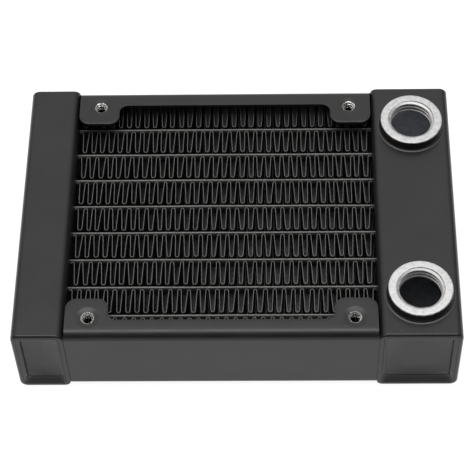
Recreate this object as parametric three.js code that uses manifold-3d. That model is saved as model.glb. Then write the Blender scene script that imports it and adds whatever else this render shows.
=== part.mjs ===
// Liquid cooling radiator for one 80 mm fan: a brazed tube-and-fin core between a return tank
// and a port tank, held by two C-shaped side brackets that carry the tapped fan holes.
// Units are millimetres. +Z is up, towards the ports; +X runs from the return tank to the port
// tank; +Y runs from the front bracket to the back one. The origin is the centre of the bottom
// of the bounding box, on the plane that the tanks stand on.

import * as THREE from 'three';
import { mergeVertices } from 'three/addons/utils/BufferGeometryUtils.js';
import Module from 'manifold-3d';

// Tanks
const OVERALL_LENGTH = 120.5;
const TANK_SPAN = 84;
const TANK_HEIGHT = 26;
const RETURN_TANK_DEPTH = 14;
const PORT_TANK_DEPTH = 22.1;
const TANK_WALL = 1.2;
const TANK_CORNER = 2.2;
const CAP_THICKNESS = 2.4;
const CAP_RECESS = 1.0;
const CAP_RIM_HEADER = 0.55;
const CAP_RIM_OUTER = 1.5;
const CAP_RIM_TOP = 0.5;
const CAP_RIM_BOTTOM = 1.9;
const CAP_GAP = 0.12;
const DIVIDER_THICKNESS = 1.2;
const DIVIDER_GAP = 0.2;

// Core
const TUBE_COUNT = 8;
const TUBE_PITCH = 9.05;
const TUBE_THICKNESS = 1.8;
const TUBE_DEPTH = 14.4;
const TUBE_WALL = 0.35;
const TUBE_ENTRY = 2.6;
const SLOT_CLEARANCE = 0.3;
const FIN_DEPTH = 15.2;
const FIN_SHEET = 0.24;
const FIN_FOLDS = 67;
const FIN_CREST = 0.4;
const FIN_END_GAP = 0.2;
const BRAZE_GAP = 0.05;

// Side brackets
const BRACKET_SPAN = 83.4;
const SHEET = 1.2;
const BRACKET_HEIGHT = 25.5;
const BRACKET_BASE = 0.1;
const BEND_RADIUS = 2.2;
const STRIP_REACH = 5.35;
const TAB_REACH = 11.95;
const TAB_INNER = 30.35;
const TAB_SIDE_GAP = 0.3;
const TAB_TIP_RADIUS = 3;
const TAB_ROOT_RADIUS = 2.3;

// Tapped fan holes: M3 on the 71.5 mm square of an 80 mm fan
const FAN_SQUARE = 71.5;
const SCREW_BORE = 2.5;
const SCREW_CHAMFER = 3.4;
const COLLAR_DIAMETER = 4.6;
const COLLAR_HEIGHT = 1.6;

// Ports: G1/4 internal thread in a turned bush
const PORT_SPACING = 57;
const PORT_SHIFT = -0.4;
const PORT_DIAMETER = 17.4;
const PORT_HEIGHT = 3.1;
const PORT_SPIGOT = 15.2;
const PORT_SPIGOT_DEPTH = 0.5;
const PORT_SPIGOT_CLEARANCE = 0.3;
const THREAD_MAJOR = 13.157;
const THREAD_MINOR = 11.445;
const THREAD_PITCH = 1.337;
const THREAD_TURNS = 2;
const MOUTH_DIAMETER = 13.1;
const MOUTH_LAND = 11.5;
const MOUTH_DEPTH = 0.8;
const PORT_EDGE = 0.4;

// Smoothness
const CORNER_SEGMENTS = 4;
const TUBE_END_SEGMENTS = 3;
const HOLE_SEGMENTS = 20;
const PORT_SEGMENTS = 32;

// Places worked out from the sizes above
const LEFT_FACE = -OVERALL_LENGTH / 2;
const RIGHT_FACE = OVERALL_LENGTH / 2;
const RETURN_HEADER = LEFT_FACE + RETURN_TANK_DEPTH;
const PORT_HEADER = RIGHT_FACE - PORT_TANK_DEPTH;
const CORE_CENTRE = (RETURN_HEADER + PORT_HEADER) / 2;
const CORE_LENGTH = PORT_HEADER - RETURN_HEADER;
const PORT_X = (PORT_HEADER + RIGHT_FACE) / 2;
const FRONT_PORT_Y = PORT_SHIFT - PORT_SPACING / 2;
const BACK_PORT_Y = PORT_SHIFT + PORT_SPACING / 2;
const MID_HEIGHT = TANK_HEIGHT / 2;
const BRACKET_MIDDLE = BRACKET_BASE + BRACKET_HEIGHT / 2;
const WEB_INSIDE = BRACKET_SPAN / 2 - SHEET;

const wasm = await Module();
wasm.setup();

const PAINT = { color: 0x3b3b3a, roughness: 0.55, metalness: 0.1 };
const CORE_PAINT = { color: 0x232322, roughness: 0.6, metalness: 0.1 };
const ALUMINIUM = { color: 0xd4d3d0, roughness: 0.35, metalness: 1 };
const BRAZED_ALUMINIUM = { color: 0x8d8d8a, roughness: 0.6, metalness: 0.9 };

// ---------------------------------------------------------------- solids

function toSolid(geometry) {
  geometry.deleteAttribute('normal');
  geometry.deleteAttribute('uv');
  const merged = mergeVertices(geometry, 1e-5);
  const vertProperties = new Float32Array(merged.attributes.position.array);
  const triVerts = new Uint32Array(merged.index.array);
  return new wasm.Manifold(new wasm.Mesh({ numProp: 3, vertProperties, triVerts }));
}

function toGeometry(solid) {
  const mesh = solid.getMesh();
  const geometry = new THREE.BufferGeometry();
  geometry.setAttribute('position', new THREE.BufferAttribute(mesh.vertProperties, 3));
  geometry.setIndex(new THREE.BufferAttribute(mesh.triVerts, 1));
  geometry.computeVertexNormals();
  return geometry;
}

function part(name, geometry, finish) {
  const mesh = new THREE.Mesh(geometry, new THREE.MeshStandardMaterial(finish));
  mesh.name = name;
  return mesh;
}

// ---------------------------------------------------------------- outlines

function roundedRectangle(width, height, radius) {
  const x = width / 2;
  const y = height / 2;
  const outline = new THREE.Shape();
  outline.absarc(x - radius, y - radius, radius, 0, Math.PI / 2);
  outline.absarc(radius - x, y - radius, radius, Math.PI / 2, Math.PI);
  outline.absarc(radius - x, radius - y, radius, Math.PI, 1.5 * Math.PI);
  outline.absarc(x - radius, radius - y, radius, 1.5 * Math.PI, 2 * Math.PI);
  return outline;
}

function withHole(outline, hole, segments) {
  outline.holes.push(new THREE.Path(hole.getPoints(segments)));
  return outline;
}

// ---------------------------------------------------------------- extrusions

function extrude(shape, length, curveSegments) {
  const geometry = new THREE.ExtrudeGeometry(shape, {
    depth: length,
    bevelEnabled: false,
    curveSegments,
  });
  return geometry.translate(0, 0, -length / 2);
}

// The outline's x and y become the part's y and z.
function extrudeAlongX(shape, length, curveSegments) {
  const turn = new THREE.Matrix4().makeBasis(
    new THREE.Vector3(0, 1, 0),
    new THREE.Vector3(0, 0, 1),
    new THREE.Vector3(1, 0, 0),
  );
  return extrude(shape, length, curveSegments).applyMatrix4(turn);
}

// The outline's x and y become the part's x and z.
function extrudeAlongY(shape, length, curveSegments) {
  const turn = new THREE.Matrix4().makeBasis(
    new THREE.Vector3(1, 0, 0),
    new THREE.Vector3(0, 0, 1),
    new THREE.Vector3(0, -1, 0),
  );
  return extrude(shape, length, curveSegments).applyMatrix4(turn);
}

// A turned body about the vertical axis. The profile lists [radius, height] pairs.
function turned(profile, segments) {
  const points = profile.map(([radius, height]) => new THREE.Vector2(radius, height));
  const geometry = new THREE.LatheGeometry(points, segments);
  const upright = new THREE.Matrix4().makeBasis(
    new THREE.Vector3(1, 0, 0),
    new THREE.Vector3(0, 0, 1),
    new THREE.Vector3(0, -1, 0),
  );
  return geometry.applyMatrix4(upright);
}

// ---------------------------------------------------------------- tanks

function tubePosition(index) {
  return (index - (TUBE_COUNT - 1) / 2) * TUBE_PITCH;
}

function tankShell(centreX, depth, headerX) {
  const outside = roundedRectangle(depth, TANK_HEIGHT, TANK_CORNER);
  const inside = roundedRectangle(
    depth - 2 * TANK_WALL,
    TANK_HEIGHT - 2 * TANK_WALL,
    TANK_CORNER - TANK_WALL,
  );
  const section = withHole(outside, inside, CORNER_SEGMENTS);
  const wall = extrudeAlongY(section, TANK_SPAN, CORNER_SEGMENTS);
  let shell = toSolid(wall.translate(centreX, 0, MID_HEIGHT));
  for (let index = 0; index < TUBE_COUNT; index += 1) {
    const slot = roundedRectangle(
      TUBE_THICKNESS + 2 * SLOT_CLEARANCE,
      TUBE_DEPTH + 2 * SLOT_CLEARANCE,
      TUBE_THICKNESS / 2,
    );
    const cutter = extrudeAlongX(slot, 4 * TANK_WALL, 2);
    shell = shell.subtract(toSolid(cutter.translate(headerX, tubePosition(index), MID_HEIGHT)));
  }
  return shell;
}

function cutPortHole(shell, portY) {
  const radius = PORT_SPIGOT / 2 + PORT_SPIGOT_CLEARANCE;
  const hole = turned([[0, -4], [radius, -4], [radius, 4], [0, 4]], PORT_SEGMENTS);
  return shell.subtract(toSolid(hole.translate(PORT_X, portY, TANK_HEIGHT)));
}

// A pressed pan, its face level with the shell's end; the recess sits high, near the header.
function endCap(name, centreX, depth, side, headerSide) {
  const width = depth - 2 * (TANK_WALL + CAP_GAP);
  const height = TANK_HEIGHT - 2 * (TANK_WALL + CAP_GAP);
  const radius = TANK_CORNER - TANK_WALL;
  const pan = roundedRectangle(width, height, radius);
  const hollow = roundedRectangle(
    width - CAP_RIM_HEADER - CAP_RIM_OUTER,
    height - CAP_RIM_TOP - CAP_RIM_BOTTOM,
    radius,
  );
  const block = extrudeAlongY(pan, CAP_THICKNESS, CORNER_SEGMENTS);
  const recess = extrudeAlongY(hollow, 2 * CAP_RECESS, CORNER_SEGMENTS);
  recess.translate(
    headerSide * (CAP_RIM_OUTER - CAP_RIM_HEADER) / 2,
    side * CAP_THICKNESS / 2,
    (CAP_RIM_BOTTOM - CAP_RIM_TOP) / 2,
  );
  const solid = toSolid(block).subtract(toSolid(recess));
  const geometry = toGeometry(solid);
  geometry.translate(centreX, side * (TANK_SPAN - CAP_THICKNESS) / 2, MID_HEIGHT);
  return part(name, geometry, PAINT);
}

// The wall inside the port tank that sends the coolant round through the return tank.
function portTankDivider() {
  const margin = TANK_WALL + DIVIDER_GAP;
  const plate = roundedRectangle(
    PORT_TANK_DEPTH - 2 * margin,
    TANK_HEIGHT - 2 * margin,
    TANK_CORNER - TANK_WALL,
  );
  const geometry = extrudeAlongY(plate, DIVIDER_THICKNESS, CORNER_SEGMENTS);
  return part('port_tank_divider', geometry.translate(PORT_X, 0, MID_HEIGHT), BRAZED_ALUMINIUM);
}

// ---------------------------------------------------------------- ports

// Grooves of the internal thread, from the lowest turn up, as rings one pitch apart.
function threadProfile(bottom) {
  const points = [];
  for (let turn = 0; turn < THREAD_TURNS; turn += 1) {
    const start = bottom + turn * THREAD_PITCH;
    points.push([THREAD_MINOR / 2, start]);
    points.push([THREAD_MAJOR / 2, start + THREAD_PITCH / 2]);
  }
  points.push([THREAD_MINOR / 2, bottom + THREAD_TURNS * THREAD_PITCH]);
  return points;
}

function portBush(name, portY) {
  const spigotEnd = -PORT_SPIGOT_DEPTH;
  const threadTop = PORT_HEIGHT - MOUTH_DEPTH;
  const threadBottom = threadTop - THREAD_TURNS * THREAD_PITCH;
  const start = [THREAD_MINOR / 2, spigotEnd];
  const profile = [
    start,
    [PORT_SPIGOT / 2, spigotEnd],
    [PORT_SPIGOT / 2, 0],
    [PORT_DIAMETER / 2, 0],
    [PORT_DIAMETER / 2, PORT_HEIGHT - PORT_EDGE],
    [PORT_DIAMETER / 2 - PORT_EDGE, PORT_HEIGHT],
    [MOUTH_DIAMETER / 2, PORT_HEIGHT],
    [MOUTH_LAND / 2, threadTop],
    ...threadProfile(threadBottom).reverse(),
    start,
  ];
  const geometry = turned(profile, PORT_SEGMENTS);
  return part(name, geometry.translate(PORT_X, portY, TANK_HEIGHT), ALUMINIUM);
}

// ---------------------------------------------------------------- core

// A flat tube with full round edges, open at both ends inside the tanks.
function flatTube(index) {
  const outside = roundedRectangle(TUBE_THICKNESS, TUBE_DEPTH, TUBE_THICKNESS / 2);
  const inside = roundedRectangle(
    TUBE_THICKNESS - 2 * TUBE_WALL,
    TUBE_DEPTH - 2 * TUBE_WALL,
    TUBE_THICKNESS / 2 - TUBE_WALL,
  );
  const section = withHole(outside, inside, TUBE_END_SEGMENTS);
  const length = CORE_LENGTH + 2 * TUBE_ENTRY;
  const geometry = extrudeAlongX(section, length, TUBE_END_SEGMENTS);
  geometry.translate(CORE_CENTRE, tubePosition(index), MID_HEIGHT);
  return part(`flat_tube_${index + 1}`, geometry, CORE_PAINT);
}

// A folded strip seen from above: narrow flat crests on alternate sides, joined by slanted legs.
function foldedOutline(height) {
  const period = (CORE_LENGTH - 2 * FIN_END_GAP - FIN_CREST) / (FIN_FOLDS - 1);
  const upper = [];
  const lower = [];
  for (let fold = 0; fold < FIN_FOLDS; fold += 1) {
    const middle = (fold - (FIN_FOLDS - 1) / 2) * period;
    const side = fold % 2 === 0 ? 1 : -1;
    const crestSide = side > 0 ? upper : lower;
    const hollowSide = side > 0 ? lower : upper;
    crestSide.push(new THREE.Vector2(middle - FIN_CREST / 2, side * height / 2));
    crestSide.push(new THREE.Vector2(middle + FIN_CREST / 2, side * height / 2));
    hollowSide.push(new THREE.Vector2(middle, side * (height / 2 - FIN_SHEET)));
  }
  return new THREE.Shape([...lower, ...upper.reverse()]);
}

// One folded strip standing between the y values low and high.
function finStrip(index, low, high) {
  const strip = foldedOutline(high - low - 2 * BRAZE_GAP);
  const geometry = extrude(strip, FIN_DEPTH, 1);
  geometry.translate(CORE_CENTRE, (low + high) / 2, MID_HEIGHT);
  return part(`fin_strip_${index + 1}`, geometry, CORE_PAINT);
}

function finRow(index) {
  const low = index === 0 ? -WEB_INSIDE : tubePosition(index - 1) + TUBE_THICKNESS / 2;
  const high = index === TUBE_COUNT ? WEB_INSIDE : tubePosition(index) - TUBE_THICKNESS / 2;
  return finStrip(index, low, high);
}

// ---------------------------------------------------------------- brackets

// The C section in (y, z) for the front bracket: web at negative y, flanges towards the middle.
function channelSection() {
  const web = -BRACKET_SPAN / 2;
  const tip = web + TAB_REACH;
  const top = BRACKET_HEIGHT / 2;
  const outer = BEND_RADIUS;
  const inner = BEND_RADIUS - SHEET;
  const bend = web + BEND_RADIUS;
  const section = new THREE.Shape();
  section.moveTo(tip, -top);
  section.lineTo(tip, SHEET - top);
  section.absarc(bend, outer - top, inner, 1.5 * Math.PI, Math.PI, true);
  section.absarc(bend, top - outer, inner, Math.PI, Math.PI / 2, true);
  section.lineTo(tip, top - SHEET);
  section.lineTo(tip, top);
  section.absarc(bend, top - outer, outer, Math.PI / 2, Math.PI);
  section.absarc(bend, outer - top, outer, Math.PI, 1.5 * Math.PI);
  return section;
}

// The bracket's outline from above: full width at the web, then a narrow strip with two tabs.
function bracketPlan() {
  const side = CORE_LENGTH / 2;
  const tabSide = side - TAB_SIDE_GAP;
  const web = -BRACKET_SPAN / 2;
  const bend = web + BEND_RADIUS;
  const strip = web + STRIP_REACH;
  const tip = web + TAB_REACH;
  const plan = new THREE.Shape();
  plan.moveTo(-side, web - 1);
  plan.lineTo(side, web - 1);
  plan.lineTo(side, bend);
  plan.lineTo(tabSide, bend);
  plan.absarc(tabSide - TAB_TIP_RADIUS, tip - TAB_TIP_RADIUS, TAB_TIP_RADIUS, 0, Math.PI / 2);
  plan.absarc(
    TAB_INNER + TAB_TIP_RADIUS, tip - TAB_TIP_RADIUS, TAB_TIP_RADIUS, Math.PI / 2, Math.PI,
  );
  plan.absarc(
    TAB_INNER - TAB_ROOT_RADIUS, strip + TAB_ROOT_RADIUS, TAB_ROOT_RADIUS, 0, -Math.PI / 2, true,
  );
  plan.absarc(
    TAB_ROOT_RADIUS - TAB_INNER, strip + TAB_ROOT_RADIUS, TAB_ROOT_RADIUS,
    -Math.PI / 2, -Math.PI, true,
  );
  plan.absarc(
    -TAB_INNER - TAB_TIP_RADIUS, tip - TAB_TIP_RADIUS, TAB_TIP_RADIUS, 0, Math.PI / 2,
  );
  plan.absarc(TAB_TIP_RADIUS - tabSide, tip - TAB_TIP_RADIUS, TAB_TIP_RADIUS, Math.PI / 2, Math.PI);
  plan.lineTo(-tabSide, bend);
  plan.lineTo(-side, bend);
  return plan;
}

// The collar drawn down round a tapped hole, which overlaps the sheet above it.
function screwCollar() {
  const radius = COLLAR_DIAMETER / 2;
  const bottom = -SHEET - COLLAR_HEIGHT;
  const profile = [[0, bottom], [radius, bottom], [radius, -SHEET / 2], [0, -SHEET / 2]];
  return turned(profile, HOLE_SEGMENTS);
}

function screwHole() {
  const bore = SCREW_BORE / 2;
  const mouth = SCREW_CHAMFER / 2;
  const above = 1;
  const profile = [
    [0, -SHEET - COLLAR_HEIGHT - 1],
    [bore, -SHEET - COLLAR_HEIGHT - 1],
    [bore, bore - mouth],
    [mouth + above, above],
    [0, above],
  ];
  return turned(profile, HOLE_SEGMENTS);
}

// Turns a cutter or collar made for the top face over for the bottom face.
function atFanHole(geometry, x, y, face) {
  if (face < 0) {
    geometry.rotateX(Math.PI);
  }
  return toSolid(geometry.translate(x, y, face * BRACKET_HEIGHT / 2));
}

function bracket(name, side) {
  const channel = toSolid(extrudeAlongX(channelSection(), CORE_LENGTH, CORNER_SEGMENTS));
  const plan = toSolid(extrude(bracketPlan(), 2 * BRACKET_HEIGHT, CORNER_SEGMENTS));
  let solid = channel.intersect(plan);
  for (const face of [-1, 1]) {
    for (const end of [-1, 1]) {
      const x = end * FAN_SQUARE / 2;
      const y = -FAN_SQUARE / 2;
      solid = solid.add(atFanHole(screwCollar(), x, y, face));
      solid = solid.subtract(atFanHole(screwHole(), x, y, face));
    }
  }
  const geometry = toGeometry(solid);
  if (side > 0) {
    geometry.rotateZ(Math.PI);
  }
  return part(name, geometry.translate(CORE_CENTRE, 0, BRACKET_MIDDLE), PAINT);
}

// ---------------------------------------------------------------- assembly

function tanks() {
  const group = new THREE.Group();
  const returnX = (LEFT_FACE + RETURN_HEADER) / 2;
  const returnShell = tankShell(returnX, RETURN_TANK_DEPTH, RETURN_HEADER);
  let portShell = tankShell(PORT_X, PORT_TANK_DEPTH, PORT_HEADER);
  portShell = cutPortHole(portShell, FRONT_PORT_Y);
  portShell = cutPortHole(portShell, BACK_PORT_Y);
  group.add(part('return_tank_shell', toGeometry(returnShell), PAINT));
  group.add(part('port_tank_shell', toGeometry(portShell), PAINT));
  group.add(endCap('return_tank_front_cap', returnX, RETURN_TANK_DEPTH, -1, 1));
  group.add(endCap('return_tank_back_cap', returnX, RETURN_TANK_DEPTH, 1, 1));
  group.add(endCap('port_tank_front_cap', PORT_X, PORT_TANK_DEPTH, -1, -1));
  group.add(endCap('port_tank_back_cap', PORT_X, PORT_TANK_DEPTH, 1, -1));
  group.add(portTankDivider());
  group.add(portBush('front_port_bush', FRONT_PORT_Y));
  group.add(portBush('back_port_bush', BACK_PORT_Y));
  return group;
}

function core() {
  const group = new THREE.Group();
  for (let index = 0; index < TUBE_COUNT; index += 1) {
    group.add(flatTube(index));
  }
  for (let index = 0; index <= TUBE_COUNT; index += 1) {
    group.add(finRow(index));
  }
  return group;
}

const radiator = new THREE.Group();
radiator.add(tanks());
radiator.add(core());
radiator.add(bracket('front_bracket', -1));
radiator.add(bracket('back_bracket', 1));

export default radiator;
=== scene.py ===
"""Looks of the liquid cooling radiator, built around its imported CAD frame.

Lengths are metres in the frame's own axes: +X from the return tank to the port tank, +Y away
from the viewer, +Z up. MM turns millimetres into metres.
"""
import math
import random

import bmesh
import bpy
from mathutils import Matrix, Vector, noise


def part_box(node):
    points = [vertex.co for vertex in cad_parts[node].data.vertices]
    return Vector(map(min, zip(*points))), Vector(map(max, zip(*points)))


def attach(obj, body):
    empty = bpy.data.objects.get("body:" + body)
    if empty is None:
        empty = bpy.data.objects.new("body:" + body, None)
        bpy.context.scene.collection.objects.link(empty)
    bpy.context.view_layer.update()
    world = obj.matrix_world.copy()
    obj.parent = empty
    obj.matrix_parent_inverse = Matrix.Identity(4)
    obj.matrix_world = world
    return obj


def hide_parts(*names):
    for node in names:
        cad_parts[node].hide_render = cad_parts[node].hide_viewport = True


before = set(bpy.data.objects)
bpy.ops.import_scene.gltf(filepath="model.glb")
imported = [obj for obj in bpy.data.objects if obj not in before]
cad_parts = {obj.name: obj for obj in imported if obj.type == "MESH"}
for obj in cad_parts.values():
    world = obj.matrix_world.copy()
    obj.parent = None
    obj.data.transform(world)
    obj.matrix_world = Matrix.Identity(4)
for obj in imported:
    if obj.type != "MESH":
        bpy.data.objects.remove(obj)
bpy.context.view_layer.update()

MM = 0.001
TAU = 2 * math.pi

# Tanks
TANK_CORNER = 2.2 * MM
TANK_WALL = 1.2 * MM
TANK_EDGE = 0.8 * MM
HEADER_EDGE = 0.05 * MM
INNER_EDGE = 0.06 * MM
TIGHTEST_CORNER = 0.2 * MM
PAINT_REACH = 2.4 * MM
PORT_CUT_REACH = 4 * MM
CAP_SEAM = 0.01 * MM
CAP_EDGE = 0.05 * MM
CAP_BACK_EDGE = 0.1 * MM
CAP_BACK_INSET = 2.5 * MM
DIVIDER_EDGE = 0.25 * MM
DIVIDER_CORNER = 1.0 * MM

# The recess of an end cap
RIM_HEADER = 0.55 * MM
RIM_OUTER = 1.1 * MM
RIM_TOP = 0.15 * MM
RIM_BOTTOM = 2.1 * MM
RIM_FLAT_SHARE = 0.12
RIM_SLOPE_SHARES = (0.12, 0.2, 0.4, 0.65, 0.85, 1.0)
RIM_SLOPE_DEPTH = 1.0 * MM
RIM_SLOPE_REACH = 3.0 * MM
DISH_DEPTH = 2.0 * MM
DISH_TOP_RISE = 0.4 * MM
DISH_TOP_REACH = 2.2 * MM
DISH_FOOT_RISE = 0.5 * MM
DISH_FOOT_REACH = 1.1 * MM
DISH_FOOT_LONG_REACH = 3.5 * MM
DISH_SIDE_RISE = 0.9 * MM
DISH_SIDE_REACH = 2.0 * MM
DISH_GROOVE_DEPTH = 0.15 * MM
DISH_GROOVE_WIDTH = 0.25 * MM
DISH_GROOVE_START = 2 * MM
DISH_CORNER = 1.3 * MM
DISH_TIGHTEST_CORNER = 0.1 * MM
DISH_WALL_STEPS = ((0.1, 0.03), (0.17, 0.1), (0.2, 0.22), (0.22, 0.7), (0.3, 0.93))
DISH_FLOOR_INSETS = (0.38, 0.46, 0.56, 0.7, 0.9, 1.2, 1.6, 2.2, 3.0, 4.0, 4.8)

# Core
TUBE_COUNT = 8
TUBE_WALL = 0.35 * MM
TUBE_SWAY = 0.10 * MM
TUBE_SWAY_WAVE = 14 * MM
TUBE_LIFT = 0.07 * MM
TUBE_LIFT_WAVE = 9 * MM
HALF_ROUND_SPARE = 0.01 * MM
# Each tube's ridge carries a painted highlight: a lighter grey band along its middle, near its top
# and bottom edges.
RIDGE_WIDTH = 0.25 * MM
RIDGE_PINCH = 0.45
RIDGE_PINCH_REACH = 1.8 * MM
RIDGE_HIGHLIGHT_REACH = 0.8 * MM
FIN_SHEET = 0.18 * MM
FIN_FOLDS = 67
FIN_CREST_FAR = 0.46 * MM
FIN_CREST_NEAR = 0.52 * MM
FIN_CREST_ANGLES = (170, 145, 115, 90, 65, 35, 10)
FIN_CREST_SPREAD = (0.85, 1.15)
FIN_CROWDING = (-0.01, 0.04)
FIN_LEVEL_SPREAD = 0.06 * MM
FIN_PLACE_SPREAD = 0.14 * MM
FIN_WANDER = 0.06 * MM
FIN_DROP = 0.14 * MM
# Depth of each fin's edge lip, over which its painted highlight fades out; the flare starts there
# too.
FIN_LIP_DEPTH = 1.6 * MM
FIN_FLARE_FAR = 0.14 * MM
FIN_FLARE_NEAR = 0.40 * MM

# Brackets
SHEET = 1.2 * MM
BEND_RADIUS = 2.4 * MM
STRIP_REACH = 5.3 * MM
TAB_REACH = 11.95 * MM
TAB_INNER = 30.35 * MM
TAB_SIDE_GAP = 0.3 * MM
TAB_TIP_RADIUS = 3.0 * MM
TAB_ROOT_RADIUS = 2.3 * MM
TAB_STEP = 0.5 * MM
TAB_STEP_RUN = 0.4 * MM
PLAN_OVERSHOOT = MM
PLAN_WEB_POINTS = 4
SHEET_EDGE = 0.4 * MM
SHEET_EDGE_ANGLE = 45
SHEET_ROLL = 0.15 * MM
SHEET_ROLL_REACH = 1.3 * MM
SHEET_ROLL_INSETS = (0.25, 0.3, 0.35)
FLANGE_LEAST_AREA = 1e-4
FLANGE_SLOPE = 0.07
SPRING_LEAD = 0.5 * MM
SPRING_SOFTNESS = 0.2 * MM
SPRING_FROM = 5 * MM
SPRING_FADE = 3 * MM
FAN_SQUARE = 71.5 * MM
COLLAR_HEIGHT = 1.6 * MM
COLLAR_RADIUS = 2.3 * MM
COLLAR_EDGE = 0.25 * MM
COLLAR_MOUTH_RADIUS = 1.45 * MM
DIMPLE_RADIUS = 3.4 * MM
DIMPLE_DEPTH = 0.3 * MM
SCREW_MOUTH_RADIUS = 1.75 * MM
SCREW_BORE_RADIUS = 1.25 * MM
SCREW_ROOT_RADIUS = SCREW_BORE_RADIUS + 0.27 * MM
SCREW_PITCH = 0.5 * MM
SCREW_RUN_IN = 0.05 * MM
SCREW_RUN_OUT = 0.3 * MM
SCREW_FLARE = 0.35 * MM
GLINT_RADIUS = 1.55 * MM
GLINT_WIDTH = 0.2 * MM
GLINT_STRENGTH = 1.1
GLINT_REACH = 2.0 * MM
THREAD_GLINT = 0.1
THREAD_GLINT_DEPTH = 0.8 * MM

# Ports
PORT_SEGMENTS = 112
PORT_SPIGOT_RADIUS = 7.6 * MM
PORT_SPIGOT_FIT = 0.02 * MM
PORT_SPIGOT_EDGE = 0.2 * MM
THREAD_MAJOR_RADIUS = 6.5785 * MM
THREAD_MINOR_RADIUS = 5.7225 * MM
THREAD_PITCH = 1.337 * MM
THREAD_STEPS = 56
THREAD_START = TAU / 4
THREAD_RUN_IN = 0.01 * MM
THREAD_RUN_OUT = 0.3 * MM
THREAD_FOOT = 0.4 * MM
THREAD_STAIN_DEPTH = 0.5 * MM
MOUTH_RADIUS = 6.55 * MM
MOUTH_SLOPE = 1.9
MOUTH_LAND = 0.03 * MM
PORT_EDGE = 0.3 * MM
PORT_FILLET = 0.9 * MM
PORT_PAINT_WEAR = 1.2 * MM
SCUFF_TURN = 16
SCUFF_DEPTH = 0.7 * MM
SCUFF_HEIGHT = 0.8 * MM

# Values of the "bare" field: metal shows above 0 and paint below it
BARE = 2.0
PAINTED = -2.0
BUSH_PAINTED = -1.6
BUSH_RIM_BARE = 0.28


# ------------------------------------------------------------------ mesh helpers

def centre_and_size(node):
    low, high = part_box(node)
    low, high = Vector(low), Vector(high)
    return (low + high) / 2, high - low


def skin(rings, closed=False, caps=False):
    """Vertices and quads between neighbouring rings, with n-gon caps on an open run."""
    count = len(rings[0])
    verts = [point for ring in rings for point in ring]
    faces = []
    last = len(rings) if closed else len(rings) - 1
    for i in range(last):
        a = i * count
        b = ((i + 1) % len(rings)) * count
        for j in range(count):
            k = (j + 1) % count
            faces.append((a + j, a + k, b + k, b + j))
    if caps:
        faces.append(tuple(range(count))[::-1])
        start = (len(rings) - 1) * count
        faces.append(tuple(range(start, start + count)))
    return verts, faces


def new_object(name, verts, faces):
    """A closed mesh object whose faces point outwards."""
    mesh = bpy.data.meshes.new(name)
    mesh.from_pydata([tuple(v) for v in verts], [], faces)
    work = bmesh.new()
    work.from_mesh(mesh)
    bmesh.ops.recalc_face_normals(work, faces=work.faces)
    work.to_mesh(mesh)
    work.free()
    piece = bpy.data.objects.new(name, mesh)
    bpy.context.scene.collection.objects.link(piece)
    return piece


def settle(piece):
    """Applies the object's modifiers to its mesh."""
    graph = bpy.context.evaluated_depsgraph_get()
    mesh = bpy.data.meshes.new_from_object(piece.evaluated_get(graph))
    piece.modifiers.clear()
    piece.data = mesh


def boolean(piece, tool, operation):
    modifier = piece.modifiers.new("cut", "BOOLEAN")
    modifier.solver = "EXACT"
    modifier.operation = operation
    modifier.object = tool
    settle(piece)
    bpy.data.objects.remove(tool)


def shade(piece, angle=35):
    """Smooth shading that breaks at corners, with flat faces kept flat."""
    mesh = piece.data
    mesh.shade_smooth()
    mesh.set_sharp_from_angle(angle=math.radians(angle))
    modifier = piece.modifiers.new("weighted", "WEIGHTED_NORMAL")
    modifier.keep_sharp = True


def set_field(piece, name, values):
    """Stores one number per vertex for the materials to read."""
    field = piece.data.attributes.new(name, "FLOAT", "POINT")
    field.data.foreach_set("value", values)


def finish_piece(piece, material, node):
    piece.data.materials.clear()
    piece.data.materials.append(material)
    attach(piece, "root")
    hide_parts(node)


# ------------------------------------------------------------------ outlines

def rounded_rectangle(width, height, radius, corner_steps=8, side_steps=1):
    """Anticlockwise points, starting at the right end of the upper right corner."""
    corners = []
    for quadrant in range(4):
        x = (width / 2 - radius) * (1 if quadrant in (0, 3) else -1)
        y = (height / 2 - radius) * (1 if quadrant in (0, 1) else -1)
        turn = quadrant * TAU / 4
        steps = [turn + i * TAU / 4 / corner_steps for i in range(corner_steps + 1)]
        corners.append([(x + radius * math.cos(a), y + radius * math.sin(a)) for a in steps])
    points = []
    for quadrant in range(4):
        points.extend(corners[quadrant])
        start, end = corners[quadrant][-1], corners[(quadrant + 1) % 4][0]
        for i in range(1, side_steps):
            t = i / side_steps
            points.append((start[0] + (end[0] - start[0]) * t, start[1] + (end[1] - start[1]) * t))
    return points


def arc(centre, radius, start, end, steps):
    """Points on an arc between two angles in degrees."""
    points = []
    for i in range(steps + 1):
        angle = math.radians(start + (end - start) * i / steps)
        points.append((centre[0] + radius * math.cos(angle), centre[1] + radius * math.sin(angle)))
    return points


def smooth_step(t):
    t = max(0.0, min(1.0, t))
    return t * t * (3 - 2 * t)


# ------------------------------------------------------------------ tanks

def rounding(away, radius):
    """How far a rounded edge pulls the wall in, at a distance from the end of the wall."""
    if away >= radius:
        return 0.0
    return radius - math.sqrt(max(radius ** 2 - (radius - away) ** 2, 0.0))


def shell_path(half_span):
    """(inset, header inset, y) round the tank wall: outside, back edge, inside, front edge.

    The header's ends are nearly sharp, because the bracket's web butts against them.
    """
    outside_steps = 16
    outside = half_span - TANK_EDGE
    path = [
        (0.0, 0.0, -outside + 2 * outside * i / outside_steps) for i in range(outside_steps + 1)
    ]
    back = []
    for inset, y in arc((TANK_EDGE, outside), TANK_EDGE, 180, 90, 10)[1:]:
        back.append((inset, rounding(half_span - y, HEADER_EDGE), y))
    back.append((TANK_WALL - INNER_EDGE, TANK_WALL - INNER_EDGE, half_span))
    back.append((TANK_WALL, TANK_WALL, half_span - INNER_EDGE))
    back.append((TANK_WALL, TANK_WALL, half_span - 2 * PAINT_REACH / 3))
    back.append((TANK_WALL, TANK_WALL, half_span - PAINT_REACH))
    front = [(inset, header, -y) for inset, header, y in reversed(back)]
    return path + back + front


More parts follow.
